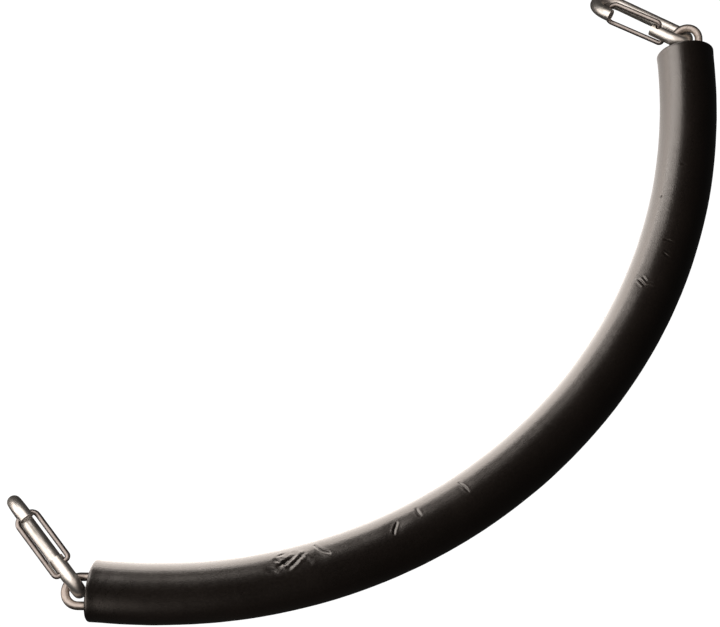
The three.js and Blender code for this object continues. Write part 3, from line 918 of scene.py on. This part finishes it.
# the steel's own light: a wide softbox above and behind, a dim overhead cloth and a low side card
only_for(soft_light("steel_softbox", (-0.28, 0.48, 0.86), (-0.02, 0.06, 0.02), 1.5, 1.2, 8.5), steel_set)
only_for(soft_light("steel_cloth", (0.0, 0.0, 1.5), (0.0, 0.0, 0.0), 3.0, 3.0, 22.0, (1.0, 0.90, 0.84)), steel_set)
only_for(soft_light("steel_side", (-0.9, 0.9, 0.22), (0.0, 0.03, 0.02), 1.1, 0.9, 7.5, (1.0, 0.92, 0.87)), steel_set)

# a white card, lit from above, lies inside the bow: the foam's inner side mirrors it
card_s = np.linspace(-HALF - 40, HALF + 40, 73)
card_t = np.array([0.0, 0.012, 0.03, 0.06, 0.10, 0.16, 0.25, 0.38, 0.55, 0.75, 1.0])
card_in = place_line(card_s, np.zeros_like(card_s), np.zeros_like(card_s)) * 0.001
card_far = np.stack([np.linspace(-1.5, 1.5, len(card_s)), np.full(len(card_s), 1.7), np.zeros(len(card_s))], -1)
card_v, card_glow = [], []
for i in range(len(card_s)):
    for t in card_t:
        p = card_in[i] * (1 - t) + card_far[i] * t
        away = t * float(np.linalg.norm(card_far[i] - card_in[i]))
        side_share = float(np.interp(card_s[i], [60.0, 240.0], [0.0, 1.0]))
        bright = float(np.interp(away, [0.0, 0.02, 0.05, 0.12, 0.3, 2.0], [3.6, 3.8, 5.8, 7.6, 7.6, 6.0]))
        soft = float(np.interp(away, [0.0, 0.02, 0.05, 0.12, 0.3, 2.0], [0.5, 0.7, 1.2, 2.3, 3.6, 4.0]))
        card_v.append((p[0], p[1], -0.0003))
        card_glow.append(bright * (1 - side_share) + soft * side_share)
nt_ = len(card_t)
card_f = [(i * nt_ + j, (i + 1) * nt_ + j, (i + 1) * nt_ + j + 1, i * nt_ + j + 1)
          for i in range(len(card_s) - 1) for j in range(nt_ - 1)]
card_mesh = bpy.data.meshes.new("light_card")
card_mesh.from_pydata(card_v, [], card_f)
card_mesh.attributes.new("glow", "FLOAT", "POINT").data.foreach_set("value", np.array(card_glow, np.float32))
card_mat, cnt, cb = new_material("light_card")
cglow = cnt.nodes.new("ShaderNodeAttribute")
cglow.attribute_name = "glow"
cnt.links.new(cglow.outputs["Fac"], cb.inputs["Emission Strength"])
cb.inputs["Emission Color"].default_value = (1.0, 0.94, 0.89, 1.0)
cb.inputs["Base Color"].default_value = (0.8, 0.8, 0.8, 1.0)
card_mesh.materials.append(card_mat)
card = bpy.data.objects.new("light_card", card_mesh)
SCENE.collection.objects.link(card)
card.visible_camera = False
only_for(card, foam_set)

cam_data = bpy.data.cameras.new("camera")
cam_data.sensor_width = 36.0
cam_data.lens = 54.0
cam_data.clip_start = 0.02
cam_data.clip_end = 30.0
cam = bpy.data.objects.new("camera", cam_data)
SCENE.collection.objects.link(cam)
CAM_YAW, CAM_EL, CAM_ROLL = 0.7815, 1.3097, 0.0329
forward = Vector((math.sin(CAM_YAW) * math.cos(CAM_EL), math.cos(CAM_YAW) * math.cos(CAM_EL), -math.sin(CAM_EL)))
right = Vector((math.cos(CAM_YAW), -math.sin(CAM_YAW), 0.0))
upward = right.cross(forward)
basis = Matrix((right, upward, -forward)).transposed().to_4x4()
cam.matrix_world = Matrix.Translation(Vector(((-165.8 + SHIFT[0]) * 0.001, (12.9 + SHIFT[1]) * 0.001, 0.742))) @ basis @ Matrix.Rotation(CAM_ROLL, 4, "Z")
SCENE.camera = cam
SCENE.view_settings.view_transform = "Standard"
SCENE.view_settings.look = "None"
